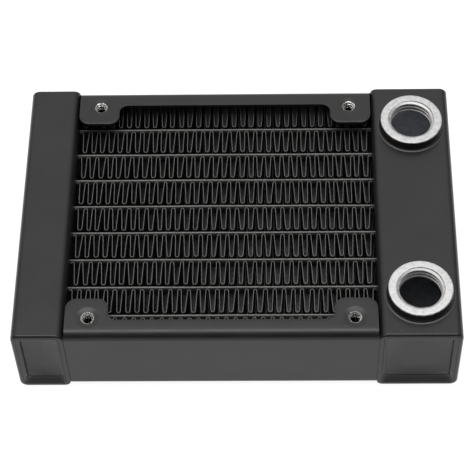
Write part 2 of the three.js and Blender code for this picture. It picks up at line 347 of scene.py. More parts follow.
def tank_shell_mesh(node, header_side):
    centre, size = centre_and_size(node)
    rings = []
    for inset, header, y in shell_path(size.y / 2):
        radius = max(TANK_CORNER - inset, TIGHTEST_CORNER)
        outline = rounded_rectangle(size.x - inset - header, size.z - 2 * inset, radius, 8, 5)
        x = centre.x + header_side * (inset - header) / 2
        rings.append([Vector((x + u, centre.y + y, centre.z + v)) for u, v in outline])
    return skin(rings, closed=True)


def tube_slots(header_x):
    """One cutter for all the tube slots in a header wall."""
    verts, faces = [], []
    for index in range(1, TUBE_COUNT + 1):
        centre, size = centre_and_size(f"flat_tube_{index}")
        outline = rounded_rectangle(size.y, size.z, size.y / 2 - HALF_ROUND_SPARE, 6)
        rings = [
            [Vector((x, centre.y + u, centre.z + v)) for u, v in outline]
            for x in (header_x - 2 * TANK_WALL, header_x + 2 * TANK_WALL)
        ]
        more_verts, more_faces = skin(rings, caps=True)
        base = len(verts)
        verts.extend(more_verts)
        faces.extend(tuple(base + i for i in face) for face in more_faces)
    return new_object("slots", verts, faces)


def port_hole(bush):
    centre, _ = centre_and_size(bush)
    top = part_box("port_tank_shell")[1][2]
    circle = arc((centre.x, centre.y), PORT_SPIGOT_RADIUS, 0, 360, 64)[:-1]
    heights = (top - PORT_CUT_REACH, top + PORT_CUT_REACH)
    rings = [[Vector((x, y, z)) for x, y in circle] for z in heights]
    return new_object("port_hole", *skin(rings, caps=True))


def bare_inside(piece, node):
    """Marks the inside of a tank, which the paint does not reach."""
    centre, size = centre_and_size(node)
    inner_wall = TANK_WALL - 0.05 * MM
    paint_end = PAINT_REACH - 0.1 * MM
    values = []
    for vert in piece.data.vertices:
        away = vert.co - centre
        inside = abs(away.x) < size.x / 2 - inner_wall and abs(away.z) < size.z / 2 - inner_wall
        painted = not inside or abs(away.y) > size.y / 2 - paint_end
        values.append(PAINTED if painted else BARE)
    set_field(piece, "bare", values)


def tank_shell(node, header_side, bushes=()):
    """A tank wall with slots for the tubes; header_side is the way the header faces in X."""
    low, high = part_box(node)
    piece = new_object(node + "_skin", *tank_shell_mesh(node, header_side))
    boolean(piece, tube_slots(high[0] if header_side > 0 else low[0]), "DIFFERENCE")
    for bush in bushes:
        boolean(piece, port_hole(bush), "DIFFERENCE")
    bare_inside(piece, node)
    shade(piece)
    finish_piece(piece, TANK_COAT, node)


def dish_depth(right, left, above, below):
    """Depth of the dished panel at its distances from the four sides of the recess.

    It comes forward towards its edges, and a fine groove runs along both sides.
    """
    depth = DISH_DEPTH - DISH_TOP_RISE * math.exp(-above / DISH_TOP_REACH)
    depth -= DISH_FOOT_RISE * math.exp(-below / DISH_FOOT_REACH)
    depth -= DISH_FOOT_RISE * math.exp(-below / DISH_FOOT_LONG_REACH)
    beside = min(right, left)
    change = DISH_GROOVE_DEPTH * math.exp(-(beside / DISH_GROOVE_WIDTH) ** 2)
    change -= DISH_SIDE_RISE * math.exp(-beside / DISH_SIDE_REACH)
    return depth + change * smooth_step(below / DISH_GROOVE_START)


def cap_rings(width, height, header_side, thickness):
    """Rings of (u, v, depth) from the back of the pressing over its rim to the dished face.

    The recess sits high and near the header; below it the rim slopes in like a solder fillet.
    """
    sides = (RIM_HEADER, RIM_OUTER)
    rim_right, rim_left = sides if header_side > 0 else reversed(sides)
    right, left = width / 2 - rim_right, width / 2 - rim_left
    top, bottom = height / 2 - RIM_TOP, height / 2 - RIM_BOTTOM
    corner = TANK_CORNER - TANK_WALL

    def ring(share, inset, depth_at):
        """An outline a share of the way from the edge to the recess and then inset further.

        depth_at gives the depth at a point (u, v) and its height above the outline's foot.
        """
        to_right = width / 2 - rim_right * share - inset
        to_left = width / 2 - rim_left * share - inset
        to_top = height / 2 - RIM_TOP * share - inset
        to_foot = height / 2 - RIM_BOTTOM * share - inset
        radius = max(corner + (DISH_CORNER - corner) * share, DISH_TIGHTEST_CORNER)
        radius = min(radius, (to_right + to_left) / 2 - DISH_TIGHTEST_CORNER)
        outline = rounded_rectangle(to_right + to_left, to_top + to_foot, radius, 8, 12)
        shift_u, shift_v = (to_right - to_left) / 2, (to_top - to_foot) / 2
        points = [(u + shift_u, v + shift_v) for u, v in outline]
        return [(u, v, depth_at(u, v, v + to_foot)) for u, v in points]

    def slope(share):
        steepness = max(share - RIM_FLAT_SHARE, 0) / (1 - RIM_FLAT_SHARE)
        return lambda u, v, up: (
            RIM_SLOPE_DEPTH * steepness * smooth_step(1 - up / RIM_SLOPE_REACH)
        )

    def floor(u, v, up):
        return dish_depth(
            max(right - u, 0.0), max(left + u, 0.0), max(top - v, 0.0), max(bottom + v, 0.0)
        )

    def wall(share):
        def depth(u, v, up):
            start = slope(1.0)(u, v, up)
            return start + max(floor(u, v, up) - start, 0.0) * share
        return depth

    rings = [
        ring(0.0, CAP_BACK_INSET, lambda u, v, up: thickness),
        ring(0.0, CAP_BACK_EDGE, lambda u, v, up: thickness),
        ring(0.0, 0.0, lambda u, v, up: thickness - CAP_BACK_EDGE),
        ring(0.0, 0.0, lambda u, v, up: CAP_EDGE),
        ring(0.0, CAP_EDGE, lambda u, v, up: 0.0),
    ]
    rings += [ring(share, 0.0, slope(share)) for share in RIM_SLOPE_SHARES]
    rings += [ring(1.0, inset * MM, wall(share)) for inset, share in DISH_WALL_STEPS]
    rings += [ring(1.0, inset * MM, floor) for inset in DISH_FLOOR_INSETS]
    return rings


def end_cap(node, shell, side, header_side):
    """A pressed pan soldered into the end of a tank; side is -1 at the front, 1 at the back."""
    centre, size = centre_and_size(shell)
    thickness = centre_and_size(node)[1].y
    face_y = centre.y + side * size.y / 2
    width = size.x - 2 * (TANK_WALL + CAP_SEAM)
    height = size.z - 2 * (TANK_WALL + CAP_SEAM)
    rings = [
        [Vector((centre.x + u, face_y - side * depth, centre.z + v)) for u, v, depth in ring]
        for ring in cap_rings(width, height, header_side, thickness)
    ]
    piece = new_object(node + "_pressing", *skin(rings, caps=True))
    inner_y = face_y - side * (thickness - CAP_BACK_EDGE / 2)
    set_field(piece, "bare", [
        BARE if (vert.co.y - inner_y) * side < 0 else PAINTED for vert in piece.data.vertices
    ])
    shade(piece, 50)
    finish_piece(piece, TANK_COAT, node)


def divider(node):
    """The plain wall between the two chambers of the port tank, never seen from outside."""
    centre, size = centre_and_size(node)
    rings = []
    for inset, y in ((DIVIDER_EDGE, -0.5), (0.0, -0.3), (0.0, 0.3), (DIVIDER_EDGE, 0.5)):
        outline = rounded_rectangle(size.x - 2 * inset, size.z - 2 * inset, DIVIDER_CORNER, 8)
        rings.append([
            Vector((centre.x + u, centre.y + y * size.y, centre.z + v)) for u, v in outline
        ])
    piece = new_object(node + "_plate", *skin(rings, caps=True))
    shade(piece)
    finish_piece(piece, BRAZED_ALUMINIUM, node)


# ------------------------------------------------------------------ ports

def thread_radius(minor, major, pitch, depth, angle, run_in, run_out, length):
    """Radius of a right-hand internal thread at a depth below its start and an angle."""
    phase = (depth / pitch + angle / TAU) % 1.0
    groove = 1 - abs(2 * phase - 1)
    groove = smooth_step(groove * 1.25 - 0.1)
    fade = smooth_step(depth / run_in) * smooth_step((length - depth) / run_out)
    return minor + (major - minor) * groove * fade


def turned_profile(outer, shoulder, bottom, top):
    """(radius, z) of the bush from its lower inner corner, round the outside, to the thread."""
    spigot = PORT_SPIGOT_RADIUS - PORT_SPIGOT_FIT
    profile = [(THREAD_MINOR_RADIUS + THREAD_FOOT, bottom), (spigot - PORT_SPIGOT_EDGE, bottom)]
    profile += [(spigot, bottom + PORT_SPIGOT_EDGE), (spigot, shoulder + 0.01 * MM)]
    profile += arc((outer + PORT_FILLET, shoulder + PORT_FILLET), PORT_FILLET, 270, 180, 9)
    profile += [(outer, shoulder + (top - shoulder) * t) for t in (0.45, 0.6, 0.75)]
    profile += arc((outer - PORT_EDGE, top - PORT_EDGE), PORT_EDGE, 0, 90, 5)
    edge = outer - PORT_EDGE
    profile += [(edge + (MOUTH_RADIUS - edge) * t, top) for t in (0.2, 0.4, 0.6, 0.8, 0.98)]
    return profile


def port_thread(centre, top, bottom):
    """Rings of a right-hand G1/4 thread between two heights, with how deep the groove is.

    Its first turn runs out through a flat countersink, and starts on the viewer's side.
    """
    length = top - bottom
    rings, grooves = [], []
    for i in range(1, THREAD_STEPS + 1):
        depth = length * i / THREAD_STEPS
        ring = []
        for j in range(PORT_SEGMENTS):
            angle = TAU * j / PORT_SEGMENTS
            radius = thread_radius(
                THREAD_MINOR_RADIUS, THREAD_MAJOR_RADIUS, THREAD_PITCH, depth,
                angle + THREAD_START, THREAD_RUN_IN, THREAD_RUN_OUT, length,
            )
            cut = (radius - THREAD_MINOR_RADIUS) / MM
            grooves.append(cut if depth > THREAD_STAIN_DEPTH else 0.0)
            radius = max(radius, MOUTH_RADIUS - MOUTH_SLOPE * (depth - MOUTH_LAND))
            ring.append(Vector((
                centre.x + radius * math.cos(angle),
                centre.y + radius * math.sin(angle),
                top - depth,
            )))
        rings.append(ring)
    return rings, grooves


def rub_mark(piece, centre, top, scuff):
    """How strong the rub mark is at each vertex, about an angle in degrees on the side."""
    if scuff is None:
        return [0.0] * len(piece.data.vertices)
    marks = []
    for vert in piece.data.vertices:
        turn = math.degrees(math.atan2(vert.co.y - centre.y, vert.co.x - centre.x)) % 360
        along = (turn - scuff) / SCUFF_TURN
        down = (top - SCUFF_DEPTH - vert.co.z) / SCUFF_HEIGHT
        marks.append(math.exp(-along ** 2 - down ** 2))
    return marks


def port_bush(node, scuff):
    """A turned bush: spigot in the tank, painted side, bare top ring and a helical thread.

    scuff is the angle in degrees of a brown rub mark on its side, or None.
    """
    centre, size = centre_and_size(node)
    low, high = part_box(node)
    top = high[2]
    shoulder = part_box("port_tank_shell")[1][2]
    rings, bare = [], []
    for radius, z in turned_profile(size.x / 2, shoulder, low[2], top):
        ring = arc((centre.x, centre.y), radius, 0, 360, PORT_SEGMENTS)[:-1]
        rings.append([Vector((x, y, z)) for x, y in ring])
        outside = radius > size.x / 2 - PORT_EDGE
        # Real paint wear: the paint stops raggedly just below the bare top ring.
        wear_and_highlight_patches = BUSH_PAINTED if z < top - PORT_PAINT_WEAR else (z - top) / MM + BUSH_RIM_BARE
        bare += [wear_and_highlight_patches if outside else BARE] * PORT_SEGMENTS
    grooves = [0.0] * len(bare)
    thread, cuts = port_thread(centre, top, low[2])
    rings += thread
    bare += [BARE] * len(cuts)
    grooves += cuts
    piece = new_object(node + "_turning", *skin(rings, closed=True))
    set_field(piece, "bare", bare)
    set_field(piece, "groove", grooves)
    set_field(piece, "rub", rub_mark(piece, centre, top, scuff))
    shade(piece, 40)
    finish_piece(piece, PORT_METAL, node)


# ------------------------------------------------------------------ core

def flat_tube(node, seed):
    """A flat tube with narrow round edges, very slightly wavy as drawn, open at both ends."""
    centre, size = centre_and_size(node)
    stations = 40
    half = size.x / 2
    path = [(0.0, -half + size.x * i / stations) for i in range(stations + 1)]
    path += [(TUBE_WALL, half), (TUBE_WALL, -half)]
    rings = []
    for inset, x in path:
        width = size.y - 2 * inset
        radius = width / 2 - HALF_ROUND_SPARE
        sway = TUBE_SWAY * noise.noise(Vector((x / TUBE_SWAY_WAVE, seed * 7.3, 0)))
        lift = TUBE_LIFT * noise.noise(Vector((x / TUBE_LIFT_WAVE, seed * 3.1, 5)))
        ring = []
        for u, v in rounded_rectangle(width, size.z - 2 * inset, radius, 6, 12):
            near_ridge = smooth_step((abs(v) - size.z / 2) / RIDGE_PINCH_REACH + 1)
            y = centre.y + u * (1 - RIDGE_PINCH * near_ridge) + sway
            ring.append(Vector((centre.x + x, y, centre.z + v + lift)))
        rings.append(ring)
    piece = new_object(node + "_drawn", *skin(rings, closed=True))
    # Painted highlight: lighter grey down the middle of the ridge, within a short reach of the top
    # and bottom edges.
    reach = size.z / 2 - RIDGE_HIGHLIGHT_REACH
    dust_and_painted_highlight = []
    for vert in piece.data.vertices:
        away = (vert.co.y - centre.y) / RIDGE_WIDTH
        dust_and_painted_highlight.append(math.exp(-away ** 2) if abs(vert.co.z - centre.z) > reach else 0.0)
    set_field(piece, "dust_and_painted_highlight", dust_and_painted_highlight)
    shade(piece)
    finish_piece(piece, CORE_PAINT, node)


def fold_line(length, height, rng):
    """The middle line of a folded strip: (x, y) points with round crests and uneven legs."""
    period = length / (FIN_FOLDS - 1)
    crowding = rng.uniform(*FIN_CROWDING)
    crests = []
    for fold in range(FIN_FOLDS):
        level = height / 2 if fold % 2 == 0 else -height / 2
        level -= math.copysign(abs(rng.gauss(0, FIN_LEVEL_SPREAD)), level)
        place = 2 * fold / (FIN_FOLDS - 1) - 1
        place += crowding * math.sin(math.pi * place) / math.pi
        inner = 0 < fold < FIN_FOLDS - 1
        shift = rng.uniform(-FIN_PLACE_SPREAD, FIN_PLACE_SPREAD) if inner else 0.0
        width = FIN_CREST_FAR if level > 0 else FIN_CREST_NEAR
        width *= rng.uniform(*FIN_CREST_SPREAD)
        crests.append((place * period * (FIN_FOLDS - 1) / 2 + shift, level, width))
    points = []
    for x, level, width in crests:
        sign = 1 if level > 0 else -1
        for degrees in FIN_CREST_ANGLES:
            angle = math.radians(degrees)
            fall = width * (1 - math.sin(angle))
            points.append((x + width * math.cos(angle), level - sign * fall))
    return points


def sheet_normals(points):
    normals = []
    for i in range(len(points)):
        before = points[max(i - 1, 0)]
        after = points[min(i + 1, len(points) - 1)]
        along = Vector((after[0] - before[0], after[1] - before[1])).normalized()
        normals.append(Vector((-along.y, along.x)))
    return normals


def with_leg_points(points, per_leg=3):
    """Adds points along the straight legs, so that they can wander a little."""
    out = []
    for i, point in enumerate(points[:-1]):
        out.append(point)
        gap = math.hypot(points[i + 1][0] - point[0], points[i + 1][1] - point[1])
        if gap > 2 * MM:
            for k in range(1, per_leg + 1):
                t = k / (per_leg + 1)
                out.append((
                    point[0] + (points[i + 1][0] - point[0]) * t,
                    point[1] + (points[i + 1][1] - point[1]) * t,
                ))
    out.append(points[-1])
    return out


def fin_section(top):
    """(side, z, painted highlight) round the thin sheet; a painted highlight of lighter grey runs
    along its upper and lower edges.
    """
    lip = [
        (1.0, -FIN_LIP_DEPTH, 0.0), (1.0, -0.5 * MM, 0.06), (1.0, -0.2 * MM, 0.25),
        (0.94, -0.10 * MM, 0.8), (0.6, -0.02 * MM, 1.0),
    ]
    rise = lip + [(-side, drop, dust_and_painted_highlight) for side, drop, dust_and_painted_highlight in reversed(lip)]
    section = [(side, top + drop, dust_and_painted_highlight) for side, drop, dust_and_painted_highlight in rise]
    return section + [(-side, -top - drop, dust_and_painted_highlight) for side, drop, dust_and_painted_highlight in rise]


def fin_strip(node, seed, bracket_side):
    """A folded strip: a thin section with rounded edges swept along the fold line.

    Its crests flare over the tubes' narrow ridges; bracket_side is the way in Y to a bracket's
    web, where they have no room to, or 0.
    """
    centre, size = centre_and_size(node)
    rng = random.Random(seed)
    half = FIN_SHEET / 2
    line = with_leg_points(fold_line(size.x - 2 * FIN_CREST_NEAR, size.y - FIN_SHEET, rng))
    normals = sheet_normals(line)
    top = size.z / 2
    section = fin_section(top)
    rings, painted_highlight_field = [], []
    for (x, y), normal in zip(line, normals):
        wander = FIN_WANDER * noise.noise(Vector((x / (1.7 * MM), y / (2.0 * MM), seed)))
        drop = FIN_DROP * noise.noise(Vector((x / (3.1 * MM), y / (5 * MM), seed + 40)))
        ring = []
        for side, z, dust_and_painted_highlight in section:
            shift = side * half + wander * (z / top)
            height = z - abs(drop) * (1 if z > 0 else -1)
            flare = FIN_FLARE_FAR if y > 0 else FIN_FLARE_NEAR
            flare *= smooth_step((abs(z) - top + FIN_LIP_DEPTH) / MM)
            stretch = 1 + flare / (size.y / 2) if y * bracket_side <= 0 else 1
            ring.append(Vector((
                centre.x + x + normal.x * shift,
                centre.y + y * stretch + normal.y * shift,
                centre.z + height,
            )))
            painted_highlight_field.append(dust_and_painted_highlight)
        rings.append(ring)
    piece = new_object(node + "_folded", *skin(rings, caps=True))
    # The field stores the painted highlight along the fin's edges.
    set_field(piece, "dust_and_painted_highlight", painted_highlight_field)
    shade(piece, 60)
    finish_piece(piece, CORE_PAINT, node)


# ------------------------------------------------------------------ brackets

def channel_section(web, height):
    """The C section in (y, z) of the front bracket, about the middle height."""
    tip = web + TAB_REACH
    top = height / 2
    bend = web + BEND_RADIUS
    inner = BEND_RADIUS - SHEET
    points = [(tip, -top), (tip, SHEET - top)]
    points += arc((bend, BEND_RADIUS - top), inner, 270, 180, 8)
    points += arc((bend, top - BEND_RADIUS), inner, 180, 90, 8)
    points += [(tip, top - SHEET), (tip, top)]
    points += arc((bend, top - BEND_RADIUS), BEND_RADIUS, 90, 180, 18)
    points += arc((bend, BEND_RADIUS - top), BEND_RADIUS, 180, 270, 18)
    return points


def half_plan(web, side):
    """The right half of the bracket seen from above, from the web round to the middle."""
    tab_side = side - TAB_SIDE_GAP
    tip = web + TAB_REACH
    strip = web + STRIP_REACH
    bend = web + BEND_RADIUS
    step = web + TAB_STEP
    outer, beyond = web - PLAN_OVERSHOOT, side + PLAN_OVERSHOOT
    points = [(0.0, outer), (beyond, outer), (beyond, step), (side, step)]
    points += [(tab_side, step + TAB_STEP_RUN), (tab_side, bend)]
    tip_y = tip - TAB_TIP_RADIUS
    points += arc((tab_side - TAB_TIP_RADIUS, tip_y), TAB_TIP_RADIUS, 0, 90, 10)
    points += arc((TAB_INNER + TAB_TIP_RADIUS, tip_y), TAB_TIP_RADIUS, 90, 180, 10)
    root = (TAB_INNER - TAB_ROOT_RADIUS, strip + TAB_ROOT_RADIUS)
    points += arc(root, TAB_ROOT_RADIUS, 0, -90, 10)
    return points


def bracket_plan(web, side):
    right = half_plan(web, side)
    left = [(-x, y) for x, y in reversed(right) if x > 0]
    return right[1:] + left


def screw_mouth():
    """(radius, depth) from the sheet down the dimple to the first thread."""
    rim = SCREW_MOUTH_RADIUS + 0.15 * MM
    profile = [(DIMPLE_RADIUS, 0.0)]
    for t in (0.2, 0.4, 0.6, 0.8, 1.0):
        profile.append((DIMPLE_RADIUS + (rim - DIMPLE_RADIUS) * t, -DIMPLE_DEPTH * smooth_step(t)))
    profile.append((SCREW_MOUTH_RADIUS, -DIMPLE_DEPTH - 0.06 * MM))
    profile.append((SCREW_ROOT_RADIUS, -DIMPLE_DEPTH - 0.25 * MM))
    return profile


def screw_collar():
    """(radius, depth) from the last thread round the drawn collar and out to the sheet."""
    foot = -SHEET - COLLAR_HEIGHT
    return [
        (COLLAR_MOUTH_RADIUS, foot),
        (COLLAR_RADIUS - COLLAR_EDGE, foot),
        (COLLAR_RADIUS, foot + COLLAR_EDGE),
        (COLLAR_RADIUS, -SHEET - 0.5 * MM),
        (COLLAR_RADIUS + 0.15 * MM, -SHEET - 0.15 * MM),
        (COLLAR_RADIUS + 0.5 * MM, -SHEET),
        (DIMPLE_RADIUS, -SHEET),
    ]


def hole_washer(x, y, face, mid_z, top):
    """The drawn and tapped hole: dimple, mouth, helical M3 thread and collar, as rings."""
    segments, steps = 48, 44
    start = -DIMPLE_DEPTH - 0.3 * MM
    end = -SHEET - COLLAR_HEIGHT + 0.1 * MM

    def ring_at(radius, depth):
        z = mid_z + face * (top + depth)
        return [Vector((px, py, z)) for px, py in arc((x, y), radius, 0, 360, segments)[:-1]]

    rings = [ring_at(radius, depth) for radius, depth in screw_mouth()]
    for i in range(steps + 1):
        down = (start - end) * i / steps
        z = mid_z + face * (top + start - down)
        flare = smooth_step(1 - down / SCREW_FLARE)
        ring = []
        for j in range(segments):
            angle = TAU * j / segments
            radius = thread_radius(
                SCREW_BORE_RADIUS, SCREW_ROOT_RADIUS, SCREW_PITCH,
                down, angle * face, SCREW_RUN_IN, SCREW_RUN_OUT, start - end,
            )
            radius += (SCREW_ROOT_RADIUS - radius) * flare
            ring.append(Vector((x + radius * math.cos(angle), y + radius * math.sin(angle), z)))
        rings.append(ring)
    rings += [ring_at(radius, depth) for radius, depth in screw_collar()]
    return skin(rings)


def insert_washers(piece, holes, face_z):
    """Opens the sheet round each hole and welds the drawn hole into it."""
    work = bmesh.new()
    work.from_mesh(piece.data)
    for x, y in holes:
        centre = Vector((x, y))
        wall = []
        for face in work.faces:
            away = [(vert.co.xy - centre).length for vert in face.verts]
            if all(abs(a - DIMPLE_RADIUS) < 0.01 * MM for a in away) and abs(face.normal.z) < 0.5:
                wall.append(face)
        bmesh.ops.delete(work, geom=wall, context="FACES")
    mid_z, top = face_z
    for x, y in holes:
        for face in (-1, 1):
            verts, faces = hole_washer(x, y, face, mid_z, top)
            made = [work.verts.new(v) for v in verts]
            for corners in faces:
                work.faces.new([made[i] for i in corners])
    bmesh.ops.remove_doubles(work, verts=work.verts, dist=0.002 * MM)
    bmesh.ops.recalc_face_normals(work, faces=work.faces)
    work.to_mesh(piece.data)
    work.free()


def bare_in_holes(piece, holes, mid_z, top):
    """Bare metal shows on the threads and at the rim of each hole's mouth."""
    values = []
    for vert in piece.data.vertices:
        value = PAINTED
        for x, y in holes:
            away = math.hypot(vert.co.x - x, vert.co.y - y)
            depth = top - abs(vert.co.z - mid_z)
            if away < GLINT_REACH and depth > DIMPLE_DEPTH - 0.1 * MM:
                value = GLINT_STRENGTH - abs(away - GLINT_RADIUS) / GLINT_WIDTH
                if depth > THREAD_GLINT_DEPTH:
                    value = min(value, THREAD_GLINT)
        values.append(value)
    set_field(piece, "bare", values)


def outline_distance(point, outline):
    """Shortest distance from a point to an open run of outline points."""
    best = 1.0
    for start, end in zip(outline, outline[1:]):
        along = end - start
        t = max(0.0, min(1.0, (point - start).dot(along) / along.length_squared))
        best = min(best, (point - start - along * t).length)
    return best


def roll_edges(piece, free_edge, centre, top, bend):
    """Draws the outer face of each flange down towards its punched edge, clear of the bend."""
    work = bmesh.new()
    work.from_mesh(piece.data)
    level_faces = [face for face in work.faces if abs(face.normal.z) > 0.99]
    flanges = [face for face in level_faces if face.calc_area() > FLANGE_LEAST_AREA]
    outer = [f for f in flanges if abs(f.calc_center_median().z - centre.z) > top - 0.1 * MM]
    for face in outer:
        for inset in SHEET_ROLL_INSETS:
            bmesh.ops.inset_region(work, faces=[face], thickness=inset * MM, use_even_offset=True)
    for vert in work.verts:
        level = abs(vert.co.z - centre.z)
        share = (level - (top - SHEET)) / SHEET
        if share > 0.3:
            away = outline_distance(Vector((abs(vert.co.x - centre.x), vert.co.y)), free_edge)
            fall = SHEET_ROLL * share * max(0.0, 1 - away / SHEET_ROLL_REACH) ** 2
            fall *= smooth_step((vert.co.y - bend - MM) / MM)
            vert.co.z = centre.z + math.copysign(level - fall, vert.co.z - centre.z)
    work.to_mesh(piece.data)
    work.free()


def spring_flanges(piece, centre, web):
    """Opens the upper bend a little, so that the flange rises from the web to its free edge."""
    start = web + BEND_RADIUS - SPRING_LEAD
    stop = web + STRIP_REACH
    for vert in piece.data.vertices:
        past = (min(vert.co.y, stop) - start) / SPRING_SOFTNESS
        rise = FLANGE_SLOPE * SPRING_SOFTNESS * math.log1p(math.exp(past))
        high = smooth_step((vert.co.z - centre.z - SPRING_FROM) / SPRING_FADE)
        vert.co.z += rise * high


def soften_edges(piece, centre, half):
    """Rounds the punched edges, but not the web's ends, which butt against the tanks."""
    work = bmesh.new()
    work.from_mesh(piece.data)
    chosen = []
    for edge in work.edges:
        butts = all(abs(vert.co.x - centre.x) > half - 0.05 * MM for vert in edge.verts)
        if not butts and edge.calc_face_angle(0.0) > math.radians(SHEET_EDGE_ANGLE):
            chosen.append(edge)
    bmesh.ops.bevel(
        work, geom=chosen, offset=SHEET_EDGE, offset_type="OFFSET", segments=3, profile=0.5,
        affect="EDGES", clamp_overlap=True,
    )
    work.to_mesh(piece.data)
    work.free()


def bracket(node, side):
    """A folded channel with two tabs on each flange; side is -1 at the front, 1 at the back."""
    centre, size = centre_and_size(node)
    low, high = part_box(node)
    web = low[1] if side < 0 else -high[1]
    half = size.x / 2
    section = channel_section(web, size.z)
    rings = [
        [Vector((centre.x + x, y, centre.z + z)) for y, z in section] for x in (-half, half)
    ]
    piece = new_object(node + "_sheet", *skin(rings, caps=True))
    plan = bracket_plan(web, half)
    tall = size.z
    rings = [
        [Vector((centre.x + x, y, centre.z + z)) for x, y in plan] for z in (-tall, tall)
    ]
    boolean(piece, new_object("plan", *skin(rings, caps=True)), "INTERSECT")
    soften_edges(piece, centre, half)
    free_edge = [Vector(point) for point in half_plan(web, half)[PLAN_WEB_POINTS:]]
    free_edge.append(Vector((0.0, web + STRIP_REACH)))
    roll_edges(piece, free_edge, centre, size.z / 2, web + BEND_RADIUS)
    holes = [(centre.x + end * FAN_SQUARE / 2, -FAN_SQUARE / 2) for end in (-1, 1)]
    for x, y in holes:
        circle = arc((x, y), DIMPLE_RADIUS, 0, 360, 48)[:-1]
        rings = [
            [Vector((px, py, centre.z + z)) for px, py in circle] for z in (-tall, tall)
        ]
        boolean(piece, new_object("hole", *skin(rings, caps=True)), "DIFFERENCE")
    insert_washers(piece, holes, (centre.z, size.z / 2))
    bare_in_holes(piece, holes, centre.z, size.z / 2)
    spring_flanges(piece, centre, web)
    if side > 0:
        turn = Matrix.Translation((centre.x, 0, 0)) @ Matrix.Rotation(math.pi, 4, "Z")
        piece.data.transform(turn @ Matrix.Translation((-centre.x, 0, 0)))
    shade(piece)
    finish_piece(piece, BRACKET_COAT, node)


# ------------------------------------------------------------------ materials

class Nodes:
    """Short calls for making and joining a material's nodes."""

    def __init__(self, name):
        self.material = bpy.data.materials.new(name)
        self.material.use_nodes = True
        self.tree = self.material.node_tree
        self.shader = self.tree.nodes["Principled BSDF"]
        coordinates = self.tree.nodes.new("ShaderNodeTexCoord")
        self.place = coordinates.outputs["Object"]

    def join(self, source, target):
        self.tree.links.new(source, target)

    def put(self, value, socket):
        """Joins another node's output to a socket, or sets a plain value."""
        if isinstance(value, bpy.types.NodeSocket):
            self.join(value, socket)
        else:
            socket.default_value = value

    def add(self, kind, **inputs):
        node = self.tree.nodes.new(kind)
        for name, value in inputs.items():
            self.put(value, node.inputs[name])
        return node

    def noise(self, per_mm, detail=2.0, roughness=0.5):
        node = self.add("ShaderNodeTexNoise", Scale=per_mm / MM, Detail=detail, Roughness=roughness)
        self.join(self.place, node.inputs["Vector"])
        return node.outputs["Fac"]

    def ramp(self, source, low, high, out_low=0.0, out_high=1.0):
        node = self.tree.nodes.new("ShaderNodeMapRange")
        node.interpolation_type = "SMOOTHSTEP"
        self.join(source, node.inputs["Value"])
        node.inputs["From Min"].default_value = low
        node.inputs["From Max"].default_value = high
        node.inputs["To Min"].default_value = out_low
        node.inputs["To Max"].default_value = out_high
        return node.outputs["Result"]

    def math(self, operation, first, second):
        node = self.tree.nodes.new("ShaderNodeMath")
        node.operation = operation
        for socket, value in zip(node.inputs, (first, second)):
            self.put(value, socket)
        return node.outputs[0]

    def mix(self, factor, first, second):
        """A mix of two colours; sockets 6, 7 and output 2 are the node's colour ones."""
        node = self.tree.nodes.new("ShaderNodeMix")
        node.data_type = "RGBA"
        self.join(factor, node.inputs[0])
        for index, value in ((6, first), (7, second)):
            self.put((*value, 1.0) if isinstance(value, tuple) else value, node.inputs[index])
        return node.outputs[2]

    def blend(self, factor, first, second):
        """A mix of two numbers; sockets 2, 3 and output 0 are the node's number ones."""
        node = self.tree.nodes.new("ShaderNodeMix")
        node.data_type = "FLOAT"
        self.join(factor, node.inputs[0])
        for index, value in ((2, first), (3, second)):
            self.put(value, node.inputs[index])
        return node.outputs[0]

    def bump(self, height, depth, strength, normal=None):
        node = self.add("ShaderNodeBump", Strength=strength, Distance=depth, Height=height)
        if normal is not None:
            self.join(normal, node.inputs["Normal"])
        return node.outputs["Normal"]

    def field(self, name):
        node = self.tree.nodes.new("ShaderNodeAttribute")
        node.attribute_name = name
        return node.outputs["Fac"]

    def specks(self, spacing, radius, share):
        """Dots scattered about one per cell, on a share of the cells."""
        node = self.tree.nodes.new("ShaderNodeTexVoronoi")
        node.inputs["Scale"].default_value = 1 / spacing
        self.join(self.place, node.inputs["Vector"])
        split = self.tree.nodes.new("ShaderNodeSeparateColor")
        self.join(node.outputs["Color"], split.inputs[0])
        chosen = self.math("GREATER_THAN", split.outputs[0], 1 - share)
        reach = self.math("MULTIPLY", split.outputs[1], radius / spacing)
        inside = self.math("LESS_THAN", node.outputs["Distance"], reach)
        return self.math("MULTIPLY", chosen, inside)


PAINT_DARK = (0.0105, 0.0105, 0.0102)
PAINT_LIGHT = (0.0135, 0.0134, 0.0130)
PAINT_DUST = (0.16, 0.16, 0.15)
PAINT_RUBBED = (0.10, 0.035, 0.015)
PAINT_IOR = 1.4
CORE_DARK = (0.010, 0.010, 0.010)
CORE_LIGHT = (0.018, 0.018, 0.017)
# A lighter grey painted on the outward edges of the fins and tubes as a painted highlight.
CORE_PAINTED_HIGHLIGHT = (0.15, 0.149, 0.144)
CORE_IOR = 1.5
TANK_METAL = (0.68, 0.70, 0.74)
SCREW_METAL = (0.74, 0.73, 0.70)
PORT_DULL = (0.42, 0.42, 0.43)
PORT_BRIGHT = (0.60, 0.595, 0.585)
PORT_SCRATCH = (0.25, 0.25, 0.25)
PORT_STAIN = (0.40, 0.31, 0.24)
BRAZED_DARK = (0.34, 0.34, 0.33)
BRAZED_LIGHT = (0.55, 0.54, 0.52)
FLOOR_DARK = (0.14, 0.14, 0.14)
FLOOR_LIGHT = (0.16, 0.16, 0.16)
FLOOR_GLOW = 0.93


